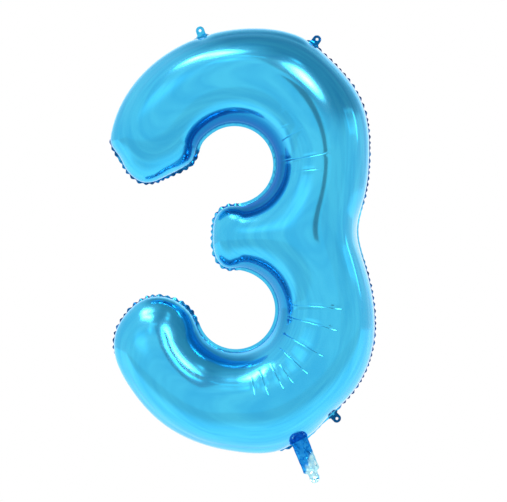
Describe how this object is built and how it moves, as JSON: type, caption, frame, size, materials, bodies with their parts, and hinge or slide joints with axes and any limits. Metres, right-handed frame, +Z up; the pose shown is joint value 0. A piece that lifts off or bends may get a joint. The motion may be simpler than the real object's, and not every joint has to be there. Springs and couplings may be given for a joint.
{
  "type": "foil number balloon",
  "caption": "Inflated foil balloon in the shape of the digit three, with a welded edge margin, hanging tabs with eyelets, and a filling tail with a self-closing film valve.",
  "frame": {"origin": "centre of the whole balloon's bounding box, in the plane of the welded seam", "axes": "+Z up the digit, +X across it towards its closed back, -Y out of the front so that the digit reads the right way round"},
  "size_m": [0.5502, 0.2032, 0.9355],
  "materials": {
    "foil": "glossy blue metallised film",
    "margin_foil": "glossy blue metallised film, welded double",
    "valve_film": "clear thin film"
  },
  "bodies": {
    "envelope": {"front_panel": "foil", "rear_panel": "foil"},
    "tail": {"tail_front_film": "foil", "tail_rear_film": "foil", "valve_inlet_front": "valve_film", "valve_inlet_rear": "valve_film"},
    "valve_front": {"valve_front_flap": "valve_film"},
    "valve_rear": {"valve_rear_flap": "valve_film"},
    "hanging_tab_upper_left": {"hanging_tab_upper_left": "margin_foil"},
    "hanging_tab_upper_right": {"hanging_tab_upper_right": "margin_foil"},
    "hanging_tab_lower_right": {"hanging_tab_lower_right": "margin_foil"}
  },
  "joints": [
    {"name": "tail_fold", "type": "hinge", "parent": "envelope", "child": "tail", "pos_m": [0.12046, 0, -0.38968], "axis": [-0.9272, 0, -0.3746], "range_deg": [-85, 85], "stiffness_Nm_per_rad": 0.002},
    {"name": "hanging_tab_upper_left_bend", "type": "hinge", "parent": "envelope", "child": "hanging_tab_upper_left", "pos_m": [-0.08428, 0, 0.45096], "axis": [0.9492, 0, 0.3146], "range_deg": [-75, 75], "stiffness_Nm_per_rad": 0.0005},
    {"name": "hanging_tab_upper_right_bend", "type": "hinge", "parent": "envelope", "child": "hanging_tab_upper_right", "pos_m": [0.1472, 0, 0.43468], "axis": [0.8154, 0, -0.579], "range_deg": [-75, 75], "stiffness_Nm_per_rad": 0.0005},
    {"name": "hanging_tab_lower_right_bend", "type": "hinge", "parent": "envelope", "child": "hanging_tab_lower_right", "pos_m": [0.18692, 0, -0.32835], "axis": [-0.7206, 0, -0.6933], "range_deg": [-75, 75], "stiffness_Nm_per_rad": 0.0005},
    {"name": "valve_front_open", "type": "hinge", "parent": "envelope", "child": "valve_front", "pos_m": [0.11297, 0, -0.37113], "axis": [0.9272, 0, 0.3746], "range_deg": [0, 4], "stiffness_Nm_per_rad": 0.002},
    {"name": "valve_rear_open", "type": "hinge", "parent": "envelope", "child": "valve_rear", "pos_m": [0.11297, 0, -0.37113], "axis": [-0.9272, 0, -0.3746], "range_deg": [0, 4], "stiffness_Nm_per_rad": 0.002}
  ],
  "couplings": [
    {"joint": "valve_rear_open", "follows": "valve_front_open", "ratio": 1}
  ]
}
